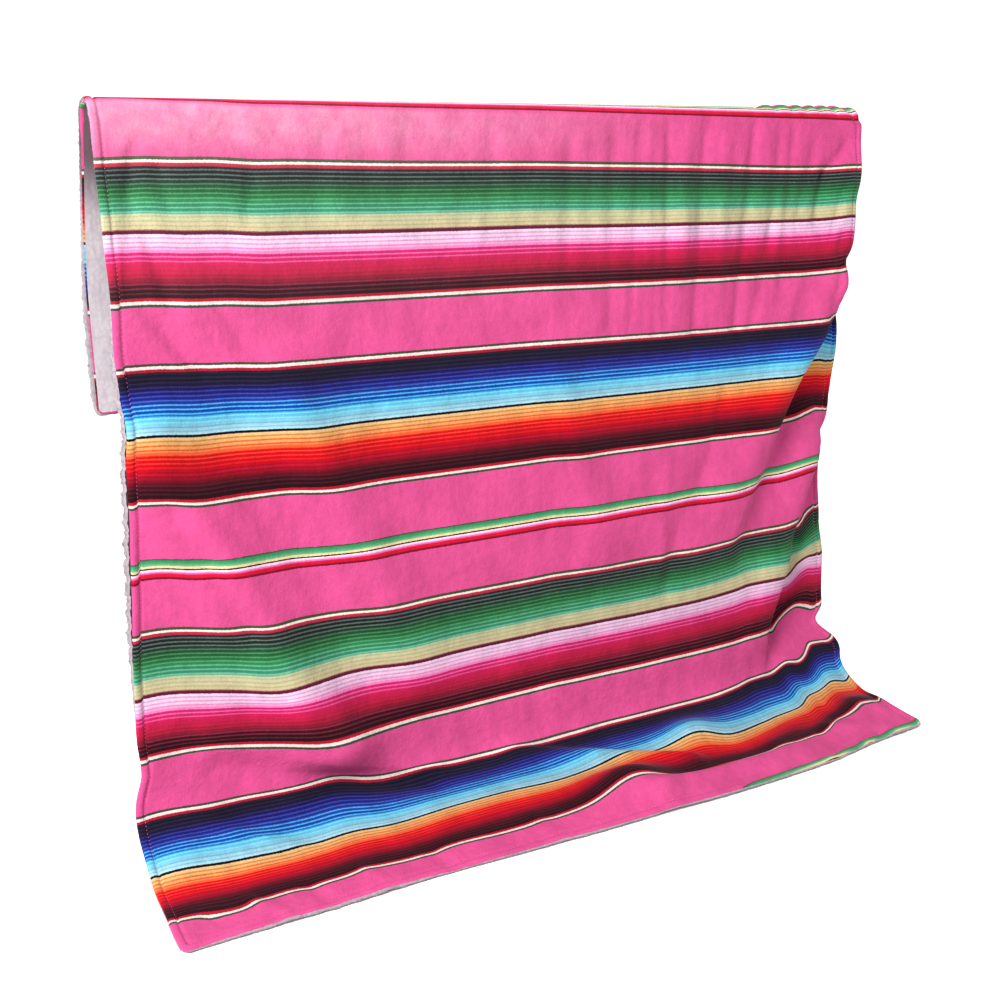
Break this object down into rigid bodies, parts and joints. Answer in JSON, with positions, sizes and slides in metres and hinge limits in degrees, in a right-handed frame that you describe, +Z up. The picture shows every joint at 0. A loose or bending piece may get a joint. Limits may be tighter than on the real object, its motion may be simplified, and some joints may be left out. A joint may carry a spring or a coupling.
{
  "type": "serape-striped throw on a hanging rail",
  "caption": "Two-layer plush and fleece throw with serape stripes, hung over a round wooden rail, its long front panel running out on the floor.",
  "frame": {"origin": "middle of the rail's axis, where the rail is held", "axes": "+X along the rail to the right as seen from the front, +Y to the back, +Z up; the front panel faces -Y"},
  "size_m": [1.303, 0.3475, 0.9812],
  "materials": {
    "printed_plush": "brushed pile, printed with serape stripes",
    "sherpa_fleece": "curled pile",
    "rail_wood": "sanded and waxed"
  },
  "bodies": {
    "root": {"plush_face": "printed_plush", "sherpa_back": "sherpa_fleece", "hanging_rail": "rail_wood"}
  },
  "joints": []
}
